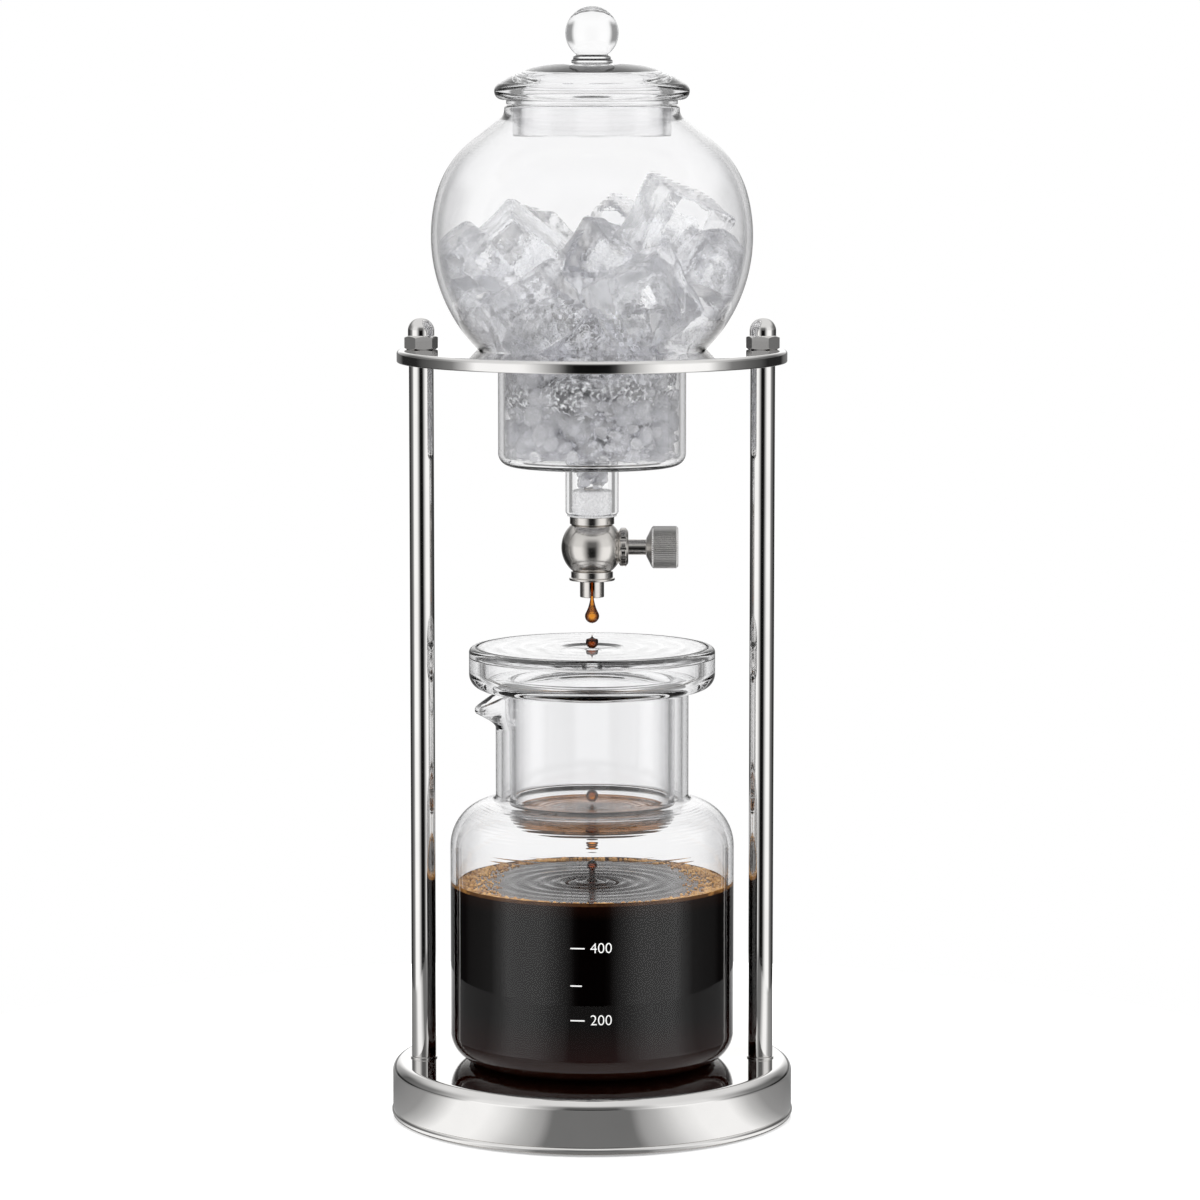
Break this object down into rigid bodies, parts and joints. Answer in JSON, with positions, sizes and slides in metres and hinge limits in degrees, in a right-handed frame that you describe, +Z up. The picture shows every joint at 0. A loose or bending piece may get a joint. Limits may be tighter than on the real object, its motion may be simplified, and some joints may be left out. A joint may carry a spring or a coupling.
{
  "type": "cold drip coffee tower",
  "caption": "Free-standing cold drip coffee tower: globe ice vessel with a needle valve on a steel rod stand, over a lidded brew cup and a spouted carafe.",
  "frame": {"origin": "centre of the base at the level its rubber feet stand on", "axes": "+Z up along the tower's axis, +X towards the valve knob, -Y towards the front where the carafe slides out"},
  "size_m": [0.1476, 0.1476, 0.4056],
  "materials": {
    "polished_steel": "mirror-polished stainless steel",
    "valve_steel": "polished stainless steel",
    "screw_steel": "zinc-plated steel",
    "cast_iron": "as cast",
    "black_cover": "black painted sheet",
    "rubber": "matt rubber",
    "silicone": "milky silicone",
    "packing": "white fluoropolymer",
    "clear_glass": "clear borosilicate glass"
  },
  "bodies": {
    "stand": {"base_shell": "polished_steel", "ballast_disc": "cast_iron", "base_cover": "black_cover", "base_cover_screws": "screw_steel", "rubber_feet": "rubber", "rod_left": "polished_steel", "rod_right": "polished_steel", "rod_foot_washers": "polished_steel", "rod_screws": "screw_steel", "rod_screw_washers": "screw_steel", "ring_plate": "polished_steel", "acorn_nut_left": "polished_steel", "acorn_nut_right": "polished_steel"},
    "vessel": {"water_vessel": "clear_glass", "valve_stopper": "silicone", "valve_inlet": "valve_steel", "valve_body": "valve_steel", "outlet_collar": "valve_steel", "drip_nozzle": "valve_steel", "gland_nut": "valve_steel", "stem_packing": "packing"},
    "needle": {"valve_needle": "valve_steel"},
    "knob": {"valve_knob": "valve_steel"},
    "lid": {"vessel_lid": "clear_glass", "lid_knob": "clear_glass"},
    "jug": {"carafe": "clear_glass"},
    "cup": {"brew_cup": "clear_glass"},
    "drip_cover": {"cup_lid": "clear_glass"}
  },
  "joints": [
    {"name": "vessel_lift", "type": "slide", "parent": "stand", "child": "vessel", "axis": [0, 0, 1], "range_m": [0, 0.1]},
    {"name": "lid_lift", "type": "slide", "parent": "vessel", "child": "lid", "axis": [0, 0, 1], "range_m": [0, 0.04]},
    {"name": "needle_travel", "type": "slide", "parent": "vessel", "child": "needle", "axis": [1, 0, 0], "range_m": [-0.00045, 0.002]},
    {"name": "knob_turn", "type": "hinge", "parent": "needle", "child": "knob", "pos_m": [0.02, 0, 0.2098], "axis": [1, 0, 0], "range_deg": [-180, 900]},
    {"name": "carafe_slide", "type": "slide", "parent": "stand", "child": "jug", "axis": [0, -1, 0], "range_m": [0, 0.15]},
    {"name": "cup_lift", "type": "slide", "parent": "jug", "child": "cup", "axis": [0, 0, 1], "range_m": [0, 0.01]},
    {"name": "cup_lid_lift", "type": "slide", "parent": "cup", "child": "drip_cover", "axis": [0, 0, 1], "range_m": [0, 0.007]}
  ],
  "couplings": [
    {"joint": "needle_travel", "follows": "knob_turn", "m_per_rad": 0.00011141}
  ]
}
